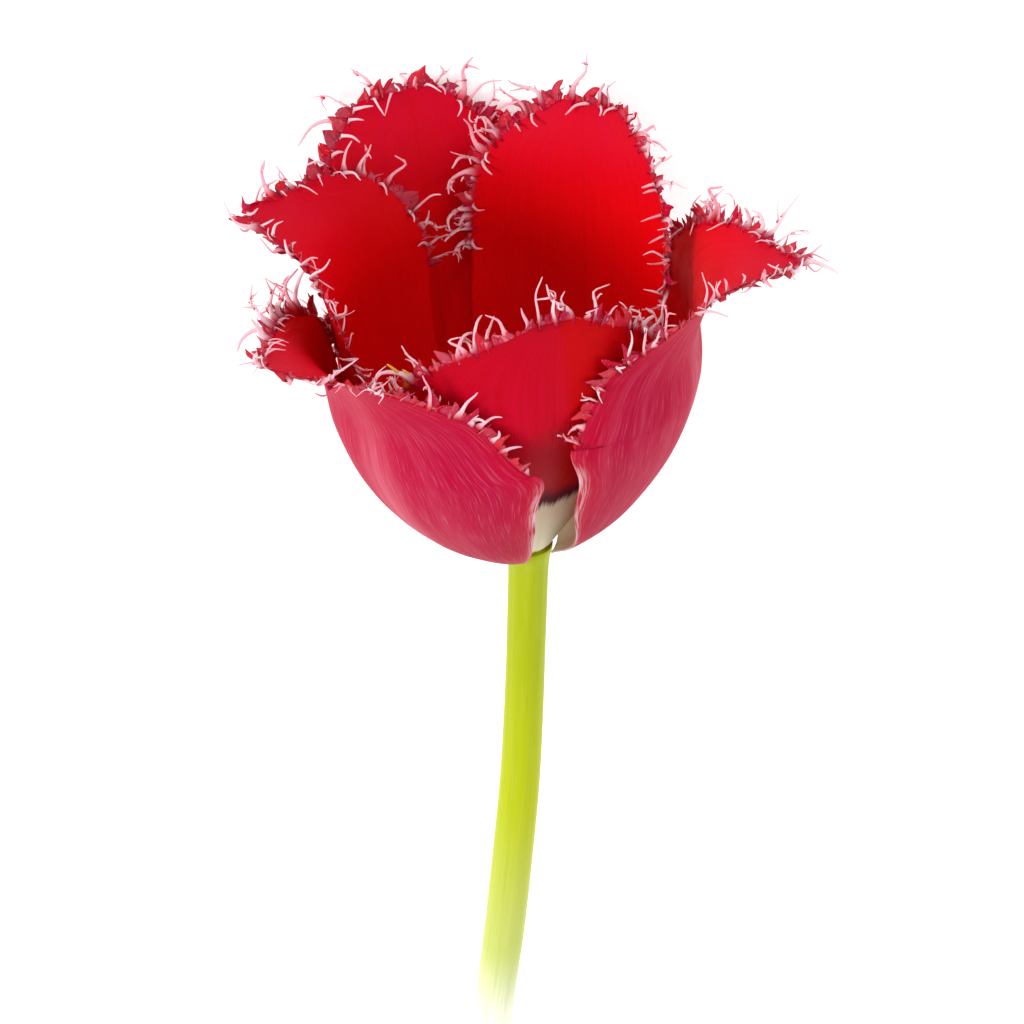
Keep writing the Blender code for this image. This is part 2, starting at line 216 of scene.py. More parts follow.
PALE_SHORT = (0.0, 0.3)
PALE_LOBE = (0.0, 0.10)

# The strands that have turned orange: their place along the left margin, (lean, height) and mark
ORANGE_ON = "petal_inner_front"
ORANGE_AT = 0.75
ORANGE_STRANDS = ((-0.5, 5.2), (-0.1, 4.0))
ORANGE_ROOT = 0.55
ORANGE_MARK = 2.0

# Fine stem, pistil and stamens: sides and rows of their rings
STEM_SIDES = 64
STEM_ROWS = (16, 130)
STEM_TOP_RADIUS = 3.45
RECEPTACLE_RINGS = ((0.0, 1.0), (1.0, 0.97), (2.4, 0.88), (RECEPTACLE_DEEP, 0.80))
PISTIL_SIDES = 60
PISTIL_ROWS = 70
PISTIL_LOBES = 3
FILAMENT_SIDES = 16
FILAMENT_ROWS = 30
FILAMENT_STEPS = 6
ANTHER_SIDES = 32
ANTHER_ROWS = 40
STAMEN_SEED = 11
STAMEN_SPREAD = (0.92, 1.08)
ANTHER_PROFILE = ((0.0, 0.35), (0.04, 0.62), (0.10, 0.86), (0.28, 1.0),
                  (0.55, 0.96), (0.80, 0.80), (0.94, 0.55), (1.0, 0.2))

# Colours of the inner faces; the low one is brighter than the high one, as painted light deep in
# the cup
INNER_LOW_PAINTED_LIGHT = (0.97, 0.0005, 0.001, 1)
INNER_HIGH = (0.80, 0.0005, 0.004, 1)
INNER_TIP = (0.68, 0.001, 0.028, 1)
INNER_BROAD = (0.76, 0.0005, 0.001, 1)
INNER_FINE = (0.84, 0.002, 0.010, 1)
# Painted shade along the midrib crease of the inner face
INNER_CREASE_SHADE = (0.55, 0.0005, 0.001, 1)
BLOTCH_NARROW = (0.10, 0.002, 0.012, 1)
YELLOW_FOOT = (0.80, 0.55, 0.06, 1)
BLOTCH_WIDE = (0.16, 0.002, 0.02, 1)
CREAM_FOOT = (0.86, 0.80, 0.60, 1)

# Colours of the outer faces: the ground, streaks and edge of each kind, then what lies over them
OUTER_KIND = ((0.46, 0.002, 0.038, 1), (0.50, 0.008, 0.062, 1), (0.54, 0.001, 0.030, 1))
INNER_KIND = ((0.52, 0.0005, 0.014, 1), (0.58, 0.001, 0.026, 1), (0.52, 0.0005, 0.012, 1))
SPINE_BLOOM = (0.74, 0.20, 0.27, 1)
BROAD_BLOOM = (0.66, 0.09, 0.17, 1)
CLAW_RED = (0.56, 0.0005, 0.003, 1)
CLAW_BLOTCH = (0.14, 0.002, 0.022, 1)
CLAW_CREAM = (0.90, 0.84, 0.60, 1)
# Pale fine streaks of the outer face: the petal's own streaks, lightened as painted sheen
SILVER_SHEEN = (0.72, 0.20, 0.29, 1)
FOOT_PINK = (0.70, 0.25, 0.32, 1)
FOOT_CREAM = (0.78, 0.66, 0.55, 1)
# Painted sheen: pale pink on the lower left and right edges of the outer face
RIM_SHEEN = (0.85, 0.55, 0.60, 1)

# Colours of the fringe, each as a range that a strand's own shade picks from
ROOT_SHADES = ((0.70, 0.001, 0.016, 1), (0.50, 0.001, 0.050, 1))
TIP_SHADES = ((0.92, 0.45, 0.55, 1), (0.97, 0.80, 0.85, 1))
SPECKLE = (0.85, 0.28, 0.38, 1)
ORANGE_SHADES = ((0.70, 0.10, 0.01, 1), (0.85, 0.55, 0.06, 1))

# Colours of the stem from the bloom to its end, then its streaks
STEM_GREENS = ((0.33, 0.38, 0.001, 1), (0.40, 0.45, 0.002, 1))
STEM_PALE = (0.48, 0.53, 0.14, 1)
STEM_END = (0.80, 0.82, 0.66, 1)
STEM_DARK = (0.24, 0.33, 0.01, 1)
STEM_LIGHT = (0.46, 0.48, 0.06, 1)

# Noise, bump, and the share of light that passes through
PETAL_GLOW = 0.28
FRINGE_GLOW = 0.3
NOISE_ROUGH = 0.55
BUMP_DISTANCE = 0.0003
SPECKLE_SCALE = 2200.0

# Studio: a light is its name, watts, size and place, in metres
FLOOR_REACH = 4.0
FLOOR_COLOUR = (0.93, 0.93, 0.93, 1)
FLOOR_GLOW = 0.22
WORLD_STRENGTH = 0.85
LIGHTS = (("key", 7.6, 0.3, (-0.85, 0.05, 0.55)), ("fill", 4.8, 0.9, (0.75, 0.0, 0.65)))
LIGHTS_AIM = (0, 0.02, 0.02)

# Camera: its rise above the bloom's side and its lean in degrees, how far away it stands, the
# picture's scale, and the pixel that the bloom's origin falls on
VIEW_RISE = 33.0
VIEW_LEAN = 4.0
VIEW_AWAY = 600.0
MM_PER_PIXEL = 0.171
BLOOM_PIXEL = (527, 543)
PICTURE = 1024
SENSOR = 36.0


def turn(axis, degrees):
    c = math.cos(math.radians(degrees))
    s = math.sin(math.radians(degrees))
    if axis == "X":
        return np.array([[1, 0, 0], [0, c, -s], [0, s, c]])
    if axis == "Y":
        return np.array([[c, 0, s], [0, 1, 0], [-s, 0, c]])
    return np.array([[c, -s, 0], [s, c, 0], [0, 0, 1]])


LAY = turn("Z", LEAN) @ turn("Y", ROLL) @ turn("X", PITCH - 90.0)


def place(points):
    """From the bloom's frame to where it lies, both in millimetres."""
    return np.asarray(points, float) @ LAY.T + np.array(BLOOM_AT)


def smooth(points, u):
    """A smooth curve through evenly spaced points, read at u from 0 to 1."""
    p = np.asarray(points, float)
    p = np.vstack([2 * p[0] - p[1], p, 2 * p[-1] - p[-2]])
    spans = len(p) - 3
    x = np.clip(np.asarray(u, float), 0, 1) * spans
    i = np.minimum(x.astype(int), spans - 1)
    f = (x - i)[..., None]
    a, b, c, d = p[i], p[i + 1], p[i + 2], p[i + 3]
    curve = 2 * b + (c - a) * f + (2 * a - 5 * b + 4 * c - d) * f**2
    return 0.5 * (curve + (3 * b - a - 3 * c + d) * f**3)


def unit(v):
    return v / np.linalg.norm(v, axis=-1, keepdims=True)


def petal_surface(petal, s, t):
    """Points of the petal's middle surface: s runs from base to tip, t from left to right edge."""
    azimuth = math.radians(petal["azimuth"])
    out = np.array([math.sin(azimuth), -math.cos(azimuth), 0.0])
    side = np.array([math.cos(azimuth), math.sin(azimuth), 0.0])
    up = np.array([0.0, 0.0, 1.0])

    def rib(at):
        m = smooth(petal["rib"], at)
        return m[..., 0:1] * out + m[..., 1:2] * up

    middle = rib(s)
    along = unit(rib(np.minimum(s + 0.001, 1)) - rib(np.maximum(s - 0.001, 0)))
    outward = np.cross(np.broadcast_to(side, along.shape), along)
    width = smooth(petal["width"], s)
    width = np.where(t < 0, width[..., 0], width[..., 1])
    cup = smooth(petal["cup"], s)
    cup = np.radians(np.maximum(np.where(t < 0, cup[..., 0], cup[..., 1]), 0.1))
    reach = np.abs(t)
    across = np.sign(t) * width * np.sin(cup * reach) / cup
    inward = width * (1 - np.cos(cup * reach)) / cup
    height, count, phase = petal["wave"]
    swing = np.sin(2 * np.pi * count * s + phase * np.sign(t) + (t > 0) * 1.3)
    wave = height * swing * reach**3 * np.sqrt(np.sin(np.pi * np.clip(s, 0, 1)).clip(0))
    return middle + side * across[..., None] + outward * (wave - inward)[..., None]


def grid_normals(points):
    down = np.gradient(points, axis=0)
    over = np.gradient(points, axis=1)
    return unit(np.cross(over, down))


def grid_edge(rows, columns):
    """Numbers of the points round a grid of (rows + 1) by (columns + 1) points, in turn."""
    wide = columns + 1
    edge = [i * wide for i in range(rows + 1)]
    edge += [rows * wide + j for j in range(1, wide)]
    edge += [i * wide + columns for i in range(rows - 1, -1, -1)]
    return edge + list(range(columns - 1, 0, -1))


def run_length(line):
    """How far along the line each of its points is."""
    return np.concatenate([[0], np.cumsum(np.linalg.norm(np.diff(line, axis=0), axis=1))])


def blade(petal):
    """The solid petal without its fringe, as points and triangles of a closed sheet in place."""
    s = np.linspace(0, 1, PETAL_ROWS + 1)
    t = np.linspace(-1, 1, PETAL_COLUMNS + 1)
    middle = petal_surface(petal, *np.meshgrid(s, t, indexing="ij"))
    normal = grid_normals(middle)
    outer = place(middle + normal * PETAL_THICK / 2)
    inner = place(middle - normal * PETAL_THICK / 2)
    # The petal that carries the bloom is pressed flat where it meets the surface
    outer[..., 2] = np.maximum(outer[..., 2], 0)
    inner[..., 2] = np.maximum(inner[..., 2], PETAL_THICK)
    points = np.concatenate([outer.reshape(-1, 3), inner.reshape(-1, 3)])
    columns = PETAL_COLUMNS + 1
    shift = (PETAL_ROWS + 1) * columns
    faces = []
    for i in range(PETAL_ROWS):
        for j in range(PETAL_COLUMNS):
            a = i * columns + j
            b, c, d = a + 1, a + columns + 1, a + columns
            # The diagonals lean away from the midrib, alike on both faces
            if j < PETAL_COLUMNS // 2:
                pair = [(a, b, c), (a, c, d)]
            else:
                pair = [(a, b, d), (b, c, d)]
            for f in pair:
                faces.append(f)
                faces.append(tuple(k + shift for k in reversed(f)))
    edge = grid_edge(PETAL_ROWS, PETAL_COLUMNS)
    for a, b in zip(edge, edge[1:] + edge[:1]):
        faces.append((a, b, b + shift))
        faces.append((a, b + shift, a + shift))
    return points, faces


def margin(petal):
    """Points round the free edge, with the way out of the sheet, its outer face, the run and s."""
    left, right = petal["fringe_from"]
    s = [np.linspace(left, 1, MARGIN_STEPS), np.ones(TIP_STEPS - 1)]
    s = np.concatenate(s + [np.linspace(1, right, MARGIN_STEPS)])
    t = [-np.ones(MARGIN_STEPS), np.linspace(-1, 1, TIP_STEPS + 1)[1:-1], np.ones(MARGIN_STEPS)]
    t = np.concatenate(t)
    edge = petal_surface(petal, s, t)
    within = petal_surface(petal, np.clip(s - 0.03 * (s > 0.97), 0, 1), t * 0.94)
    run = unit(np.gradient(edge, axis=0))
    away = edge - within
    away = unit(away - (away * run).sum(-1, keepdims=True) * run)
    # One side of the sheet throughout: left margin, tip and right margin are run through in turn
    face = unit(np.cross(run, away))
    return place(edge), away @ LAY.T, face @ LAY.T, run @ LAY.T, s


def fringe(name, own, others, taken):
    """Lines of one petal's strands, as in the solids, clear of all else and of the surface."""
    petal = PETALS[name]
    draw = random.Random(petal["seed"])
    edge, away, face, run, s = margin(petal)
    along = run_length(edge)
    mine = []
    at = FRINGE_ENDS
    while at < along[-1] - FRINGE_ENDS:
        i = int(np.searchsorted(along, at))
        tip = (s[i] - 0.4) / 0.6
        long_one = draw.random() < LONG_SHARE
        low, high = FRINGE_LONG if long_one else FRINGE_SHORT
        size = low + (high - low) * draw.random() * (0.45 + 0.55 * tip)
        for _ in range(TRIES):
            heading = away[i] + face[i] * draw.gauss(-0.45, 0.75) + run[i] * draw.gauss(0.0, 0.65)
            heading = unit(heading)
            curl = face[i] * draw.gauss(-0.2, 0.45) + run[i] * draw.gauss(0, 0.6)
            curl = curl - away[i] * draw.uniform(0, 0.7)
            neck = edge[i] + 0.28 * size * unit(away[i] + 0.5 * heading)
            line = [edge[i] - FRINGE_SUNK * away[i], neck]
            if long_one:
                line.append(neck + 0.36 * size * heading)
                line.append(line[-1] + 0.36 * size * unit(heading + curl))
            else:
                line.append(neck + 0.72 * size * heading)
            line = np.array(line)
            if clear(line, own, others, taken, mine):
                mine.append(line)
                break
            size *= SHRINK
        at += draw.uniform(*FRINGE_STEP)
    return mine


def samples_of(line, skip=0):
    """Evenly spread points on a line of a few points, from its point number skip on."""
    line = line[skip:]
    return np.concatenate([line[:-1] + (line[1:] - line[:-1]) * f for f in np.linspace(0, 1, 7)])


def near(tree, points, reach):
    for p in points:
        if tree.find_nearest(Vector(p), reach)[0] is not None:
            return True
    return False


def inside(tree, point):
    spot, normal, _, _ = tree.find_nearest(Vector(point))
    return (Vector(point) - spot).dot(normal) < -0.05


def clear(line, own, others, taken, mine):
    """Whether a strand keeps its distance from every petal, every strand and the surface."""
    whole = samples_of(line)
    outer = samples_of(line, 1)
    if not inside(own, line[0]):
        return False
    if whole[:, 2].min() < FRINGE_ROOT + CLEARANCE:
        return False
    if any(near(tree, whole, FRINGE_ROOT + CLEARANCE) for tree in others):
        return False
    if near(own, outer[outer.shape[0] // 4:], FRINGE_ROOT + 0.1):
        return False
    for rest, gap in ((taken, CLEARANCE), (mine, 0.12)):
        if rest:
            points = np.concatenate([samples_of(other) for other in rest])
            if np.linalg.norm(whole[:, None] - points[None], axis=2).min() < 2 * FRINGE_ROOT + gap:
                return False
    return True


class Shape:
    """Points, faces, material slots and marks gathered for one mesh."""

    def __init__(self):
        self.points = []
        self.faces = []
        self.slots = []
        self.marks = []
        self.count = 0

    def add(self, points, faces, marks, slot=0):
        points = np.asarray(points, float)
        faces = np.asarray(faces, int)
        self.points.append(points)
        self.faces.append(faces + self.count)
        self.slots.append(np.full(len(faces), slot))
        self.marks.append(np.broadcast_to(np.asarray(marks, float), (len(points), 3)))
        self.count += len(points)

    def close(self, ends, base, slot=0):
        """Adds end faces over points that are in already, numbered from base."""
        self.faces.append(np.array(ends) + base)
        self.slots.append(np.full(len(ends), slot))

    def build(self, name, surfaces):
        points = np.concatenate(self.points) * MM
        faces = [tuple(f) for group in self.faces for f in group.tolist()]
        mesh = bpy.data.meshes.new(name)
        mesh.from_pydata(points.tolist(), [], faces)
        for surface in surfaces:
            mesh.materials.append(surface)
        slots = np.concatenate(self.slots).astype(np.int32)
        mesh.polygons.foreach_set("material_index", slots)
        mesh.polygons.foreach_set("use_smooth", np.ones(len(faces), bool))
        mark = mesh.attributes.new("mark", "FLOAT_VECTOR", "POINT")
        mark.data.foreach_set("vector", np.concatenate(self.marks).astype(np.float32).ravel())
        mesh.update()
        made = bpy.data.objects.new(name, mesh)
        bpy.context.scene.collection.objects.link(made)
        return made


def finish_piece(shape, node, surfaces):
    """Builds the shape and puts it in the place of one node of the frame."""
    made = shape.build("tulip_" + node, surfaces)
    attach(made, "root")
    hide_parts(node)


def grid_faces(rows, columns, shift=0, flip=False):
    """Quads of a grid of (rows + 1) by (columns + 1) points."""
    i, j = np.meshgrid(np.arange(rows), np.arange(columns), indexing="ij")
    a = (i * (columns + 1) + j).ravel() + shift
    quads = np.stack([a, a + 1, a + columns + 2, a + columns + 1], axis=1)
    return quads[:, ::-1] if flip else quads


def tube_faces(rings, sides):
    """Quads round a stack of equal rings, and the two faces that close it."""
    i, j = np.meshgrid(np.arange(rings - 1), np.arange(sides), indexing="ij")
    a = (i * sides + j).ravel()
    b = (i * sides + (j + 1) % sides).ravel()
    ends = [list(range(sides - 1, -1, -1)), list(range((rings - 1) * sides, rings * sides))]
    return np.stack([a, b, b + sides, a + sides], axis=1), ends


def fine_sheet(petal):
    """The petal as a thin closed sheet with veins, with marks of (along, across, outside)."""
    s = np.linspace(0, 1, FINE_ROWS + 1)
    t = np.linspace(-1, 1, FINE_COLUMNS + 1)
    s, t = np.meshgrid(s, t, indexing="ij")
    # The foot of a petal with a claw runs on a little under its neighbour on the right
    azimuth = math.radians(petal["azimuth"])
    side = np.array([math.cos(azimuth), math.sin(azimuth), 0.0])
    run_on = petal.get("claw", 0.0) * np.exp(-(((s - CLAW_MIDDLE) / CLAW_SPREAD) ** 2))
    run_on = run_on * np.clip(t, 0, 1) ** 2
    middle = petal_surface(petal, s, t) + run_on[..., None] * side
    normal = grid_normals(middle)
    vein = VEIN_DEEP * np.sin(VEINS * t + 1.5 * np.sin(3 * s + petal["seed"]))
    vein = vein * np.sin(np.pi * s.clip(0.02, 0.98))
    vein = vein - MIDRIB_DEEP * np.exp(-((t / MIDRIB_WIDE) ** 2)) * (1 - s)
    thick = FINE_THICK[0] + (FINE_THICK[1] - FINE_THICK[0]) * np.maximum(np.abs(t), s) ** 3
    outer = place(middle + normal * (thick / 2 + vein)[..., None])
    inner = place(middle - normal * (thick / 2 - vein)[..., None])
    outer[..., 2] = np.maximum(outer[..., 2], 0)
    inner[..., 2] = np.maximum(inner[..., 2], FINE_THICK[0])
    points = np.concatenate([outer.reshape(-1, 3), inner.reshape(-1, 3)])
    half = (FINE_ROWS + 1) * (FINE_COLUMNS + 1)
    edge = np.array(grid_edge(FINE_ROWS, FINE_COLUMNS))
    after = np.roll(edge, -1)
    faces = np.concatenate([
        grid_faces(FINE_ROWS, FINE_COLUMNS),
        grid_faces(FINE_ROWS, FINE_COLUMNS, half, True),
        np.stack([edge, after, after + half, edge + half], axis=1),
    ])
    marks = np.stack([s.ravel(), t.ravel(), np.ones(half)], axis=1)
    return points, faces, np.concatenate([marks, marks * [1, 1, 0]])


def tube(line, wide, thin, face):
    """Points of a tapered tube, as wide and as thin as given at each ring, turned flat to face."""
    way = unit(np.gradient(line, axis=0))
    across = unit(np.cross(face, way))
    other = np.cross(way, across)
    angles = 2 * np.pi * np.arange(STRAND_SIDES) / STRAND_SIDES
    ring = (np.cos(angles)[None, :, None] * across[:, None] * wide[:, None, None]
            + np.sin(angles)[None, :, None] * other[:, None] * thin[:, None, None])
    return (line[:, None] + ring).reshape(-1, 3)


def any_way(draw):
    return unit(np.array([draw.gauss(0, 1), draw.gauss(0, 1), draw.gauss(0, 1)]))


def add_strand(shape, line, root, draw, face, pale, flat=False):
    """One soft strand with a broad root and a fine tip, or a flat lobe, with its curve returned.

    Its marks are (along, pale, shade)."""
    u = np.linspace(0, 1, STRAND_RINGS)
    curve = smooth(line, u)
    length = np.linalg.norm(np.diff(curve, axis=0), axis=1).sum()
    sway = any_way(draw)
    phase = draw.uniform(0, 6.3)
    curve = curve + (STRAND_SWAY * length * np.sin(u * 6 + phase) * u)[:, None] * sway
    curve[:, 2] = np.maximum(curve[:, 2], STRAND_LOWEST)
    # Each is narrow and thin where it leaves the sheet, so that no root shows through it
    if flat:
        wide = root * (1.04 - u) ** 0.9 * (1 + 0.25 * np.sin(5 * u + phase))
        wide = wide * np.clip(u / 0.2, 0.3, 1)
        thin = LOBE_THICK * (1.1 - u) * np.clip(u / 0.2, 0.5, 1)
    else:
        swollen = 1.0 * np.exp(-(((u - 0.15) / 0.12) ** 2))
        wide = root * (0.20 + 0.75 * (1 - u) ** 0.7 + swollen)
        thin = STRAND_FLAT * root * (0.25 + 0.60 * (1 - u) ** 0.8) * np.clip(u / 0.22, 0.4, 1)
    marks = np.stack([u, np.full(len(u), pale), np.full(len(u), draw.random())], axis=1)
    quads, ends = tube_faces(STRAND_RINGS, STRAND_SIDES)
    base = shape.count
    shape.add(tube(curve, wide, thin, face), quads, np.repeat(marks, STRAND_SIDES, axis=0), 1)
    shape.close(ends, base, 1)
    return curve


def more_strands(name, others):
    """Lines of the flat lobes that the margin ends in, then of the fine strands, with their faces.

    The third value is a lobe's size, or 0 for a strand."""
    petal = PETALS[name]
    draw = random.Random(FINE_SEED + petal["seed"])
    edge, away, face, run, _ = margin(petal)
    along = run_length(edge)
    found = []
    for lobe, steps in ((True, LOBE_STEP), (False, FINE_STEP)):
        at = FINE_ENDS
        while at < along[-1] - FINE_ENDS:
            i = int(np.searchsorted(along, at))
            if lobe:
                size = LOBE_LONG[0] + LOBE_LONG[1] * draw.random() ** 1.6
            else:
                size = draw.uniform(*FINE_LONG)
            if at < END_ZONE or along[-1] - at < END_ZONE:
                size *= END_SHARE
            tilt = LOBE_TILT if lobe else FINE_TILT
            heading = away[i] + face[i] * draw.gauss(-0.15, tilt) + run[i] * draw.gauss(0.0, 0.5)
            heading = unit(heading)
            curl = face[i] * draw.gauss(-0.3, 0.6) + run[i] * draw.gauss(0, 0.7)
            curl = curl - away[i] * draw.uniform(0, 0.8)
            if lobe:
                curl = LOBE_CURL * curl
            elif draw.random() < BACK_SHARE:
                # This one lies back over the inner face
                heading = -away[i] * draw.uniform(0.2, 0.9) - 0.7 * face[i]
                heading = unit(heading + run[i] * draw.gauss(0, 0.8))
                curl = -away[i] + run[i] * draw.gauss(0, 0.5)
            neck = edge[i] + 0.3 * size * unit(away[i] + 0.4 * heading)
            if heading @ away[i] < 0:
                neck = edge[i] - 0.5 * face[i]
            sunk = LOBE_SUNK if lobe else FINE_SUNK
            line = [edge[i] - sunk * away[i], neck, neck + 0.35 * size * heading]
            line.append(line[-1] + 0.35 * size * unit(heading + curl))
            line = np.array(line)
            free = not any(near(tree, samples_of(line, 1), FINE_CLEAR) for tree in others)
            if line[:, 2].min() > FINE_CLEAR and free:
                found.append((line, face[i], size if lobe else 0))
            at += draw.uniform(*steps)
    return found


def add_fringe(shape, lines, draw):
    """The solids' own strands, drawn finer: the short ones as flat lobes, the long ones forked."""
    for line in lines:
        first = line[1] - line[0]
        second = line[2] - line[1]
        if len(line) == 3:
            face = unit(np.cross(unit(first), second) + 1e-6)
            add_strand(shape, line, draw.uniform(*SHORT_ROOT), draw, face,
                       draw.uniform(*PALE_SHORT), True)
            continue
        face = unit(np.cross(first, line[2] - line[0]) + 1e-6)
        curve = add_strand(shape, line, LONG_ROOT, draw, face, draw.uniform(*PALE_LONG))
        for k in draw.sample((3, 4, 5, 6, 7), draw.choice((0, 1, 1, 2))):
            way = unit(unit(curve[k + 1] - curve[k]) + any_way(draw) * 0.9)
            bend = any_way(draw) * 0.5
            size = draw.uniform(*BRANCH_LONG)
            branch = [curve[k], curve[k] + way * size * 0.5, curve[k] + (way + bend) * size]
            add_strand(shape, branch, BRANCH_ROOT, draw, face, draw.uniform(*PALE_LONG))


def add_orange_strands(shape, petal, draw):
    """The edge of one petal has turned orange in one place."""
    for lean, height in ORANGE_STRANDS:
        at = np.array(ORANGE_AT + 0.02 * lean)
        foot = place(petal_surface(petal, at, np.array(-1.0)))
        rise = LAY @ np.array([lean, -0.2, 1.0])
        bend = LAY @ np.array([0.6, 0.0, 0.0])
        line = np.array([foot, foot + 0.5 * height * rise + bend, foot + height * rise - bend])
        face = unit(LAY @ np.array([0.0, -1.0, 0.2]))
        add_strand(shape, line, ORANGE_ROOT, draw, face, ORANGE_MARK)


def make_petals(materials):
    blades = {name: blade(petal) for name, petal in PETALS.items()}
    trees = {name: BVHTree.FromPolygons([Vector(p) for p in points], faces)
             for name, (points, faces) in blades.items()}
    taken = []
    for name, petal in PETALS.items():
        others = [tree for key, tree in trees.items() if key != name]
        lines = fringe(name, trees[name], others, taken)
        taken = taken + lines
        draw = random.Random(STRAND_SEED + petal["seed"])
        shape = Shape()
        shape.add(*fine_sheet(petal))
        add_fringe(shape, lines, draw)
        for line, face, lobe in more_strands(name, others):
            if lobe:
                root = LOBE_ROOT[0] + LOBE_ROOT[1] * lobe * draw.uniform(0.7, 1.2)
                add_strand(shape, line, root, draw, face, draw.uniform(*PALE_LOBE), True)
            else:
                root = draw.uniform(*FINE_ROOT)
                add_strand(shape, line, root, draw, face, draw.uniform(*PALE_FINE))
        if name == ORANGE_ON:
            add_orange_strands(shape, petal, draw)
        kind = "outer" if "outer" in name else "inner"
        finish_piece(shape, name, [materials[kind], materials["fringe"]])


def ring_shape(rings):
    """A Shape through equal rings, closed at both ends, with marks of (along, around, 0)."""
    count = len(rings)
    sides = len(rings[0])
    along = np.repeat(np.linspace(0, 1, count), sides)
    around = np.tile(np.arange(sides) / sides, count)
    quads, ends = tube_faces(count, sides)
    shape = Shape()
    marks = np.stack([along, around, np.zeros(count * sides)], axis=1)
    shape.add(np.concatenate(rings), quads, marks)
    shape.close(ends, 0)
    return shape


def round_rings(path, radii, sides, swell=None):
    """Rings square to a path of points; swell scales each ring's radius round the ring."""
    path = np.asarray(path, float)
    way = unit(np.gradient(path, axis=0))
    rings = []
    across = np.array([1.0, 0.0, 0.0])
    angles = 2 * np.pi * (np.arange(sides) + 0.5) / sides
    for number, (middle, forward, radius) in enumerate(zip(path, way, radii)):
        across = unit(across - (across @ forward) * forward)
        other = np.cross(forward, across)
        size = radius * (swell(number / (len(path) - 1), angles) if swell else 1.0)
        size = np.broadcast_to(size, angles.shape)[:, None]
        spoke = np.cos(angles)[:, None] * across + np.sin(angles)[:, None] * other
        rings.append(middle + size * spoke)
    return rings


def make_stem(materials):
    axis = LAY @ np.array([0.0, 0.0, 1.0])
    start = np.array(BLOOM_AT)
    top = [(*(start - axis * down), share * RECEPTACLE_RADIUS) for down, share in RECEPTACLE_RINGS]
    upper = smooth(top, np.linspace(0, 1, STEM_ROWS[0]))
    below = [(*(start - axis * RECEPTACLE_DEEP), STEM_TOP_RADIUS)] + STEM_PATH
    lower = smooth(below, np.linspace(0, 1, STEM_ROWS[1]))
    # The first rows of the lower part fall together with the last of the upper part
    rows = np.concatenate([upper, lower[2:]])

    def grooves(u, angles):
        return 1 + 0.006 * np.sin(9 * angles + 2 * u) + 0.004 * np.sin(17 * angles - 5 * u)

    rings = round_rings(rows[:, :3], rows[:, 3], STEM_SIDES, grooves)
    rings = [np.column_stack([ring[:, :2], np.maximum(ring[:, 2], 0)]) for ring in rings]
    finish_piece(ring_shape(rings), "stem", [materials["stem"]])


def make_pistil(materials):
    angles = 2 * np.pi * np.arange(PISTIL_SIDES) / PISTIL_SIDES
    rings = []
    for height, radius, lobes in smooth(PISTIL_RINGS, np.linspace(0, 1, PISTIL_ROWS)):
        spread = radius * (1 + lobes * np.cos(PISTIL_LOBES * angles))
        level = np.full(PISTIL_SIDES, height + PISTIL_FROM)
        ring = np.stack([spread * np.cos(angles), spread * np.sin(angles), level], axis=1)
        rings.append(place(ring))
    finish_piece(ring_shape(rings), "pistil", [materials["pistil"]])


def make_stamens(materials):
    draw = random.Random(STAMEN_SEED)
    up = np.array([0.0, 0.0, 1.0])

    def lobes(u, angles):
        return 1 - 0.22 * np.cos(2 * angles) ** 8 - 0.05 * np.sin(23 * u + 3 * angles)

    for number, azimuth in enumerate(STAMEN_AZIMUTHS, 1):
        a = math.radians(azimuth)
        out = np.array([math.sin(a), -math.cos(a), 0.0])
        long = FILAMENT_LENGTH * draw.uniform(*STAMEN_SPREAD)
        path = [STAMEN_ROOT_RADIUS * out + up * JOIN_GAP * 1.2]
        for k in range(FILAMENT_STEPS):
            more = (FILAMENT_LEAN[1] - FILAMENT_LEAN[0]) * k / (FILAMENT_STEPS - 1)
            tilt = math.radians(FILAMENT_LEAN[0] + more)
            forward = out * math.sin(tilt) + up * math.cos(tilt)
            path.append(path[-1] + forward * long / FILAMENT_STEPS)
        line = place(smooth(path, np.linspace(0, 1, FILAMENT_ROWS)))
        rings = round_rings(line, np.linspace(*FILAMENT_THICK, FILAMENT_ROWS), FILAMENT_SIDES)
        finish_piece(ring_shape(rings), "filament_%d" % number, [materials["filament"]])
        # The anther goes on the way that the filament ends
        foot = path[-1] + forward * JOIN_GAP
        steps = np.linspace(0, 1, ANTHER_ROWS)
        line = place(foot + forward * (ANTHER_LENGTH * steps)[:, None])
        sizes = ANTHER_RADIUS * np.interp(steps, *zip(*ANTHER_PROFILE))
        rings = round_rings(line, sizes, ANTHER_SIDES, lobes)
        finish_piece(ring_shape(rings), "anther_%d" % number, [materials["anther"]])


